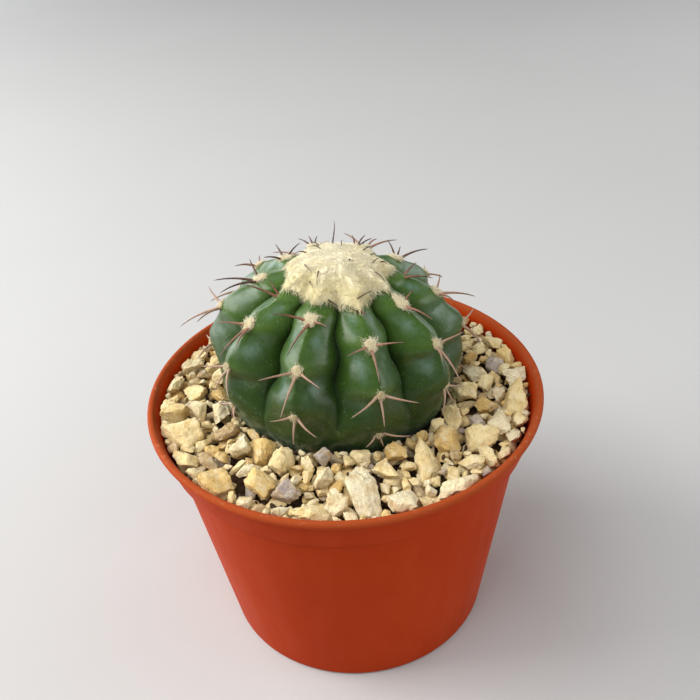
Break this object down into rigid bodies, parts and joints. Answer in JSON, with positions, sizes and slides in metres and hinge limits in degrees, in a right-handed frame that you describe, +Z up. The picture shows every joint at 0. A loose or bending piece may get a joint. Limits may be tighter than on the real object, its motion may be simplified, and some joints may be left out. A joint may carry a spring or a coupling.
{
  "type": "potted cactus",
  "caption": "Flattened ribbed globe cactus with a woolly crown and curved spines, in a round tapered plastic nursery pot dressed with pale stone chippings.",
  "frame": {"origin": "middle of the pot's underside, on the surface that it stands on", "axes": "+Z up along the pot's axis; -Y is the front"},
  "size_m": [0.105, 0.105, 0.1128],
  "materials": {
    "pot_plastic": "satin terracotta-coloured moulded plastic",
    "soil": "dark crumbly potting compost",
    "chippings": "pale cream and ochre limestone chippings, dry and matt",
    "stem_skin": "dark green waxy skin with a soft sheen",
    "wool": "cream felted plant wool"
  },
  "bodies": {
    "root": {"pot": "pot_plastic", "compost": "soil", "gravel": "chippings", "cactus_stem": "stem_skin", "wool_cap": "wool"}
  },
  "joints": []
}
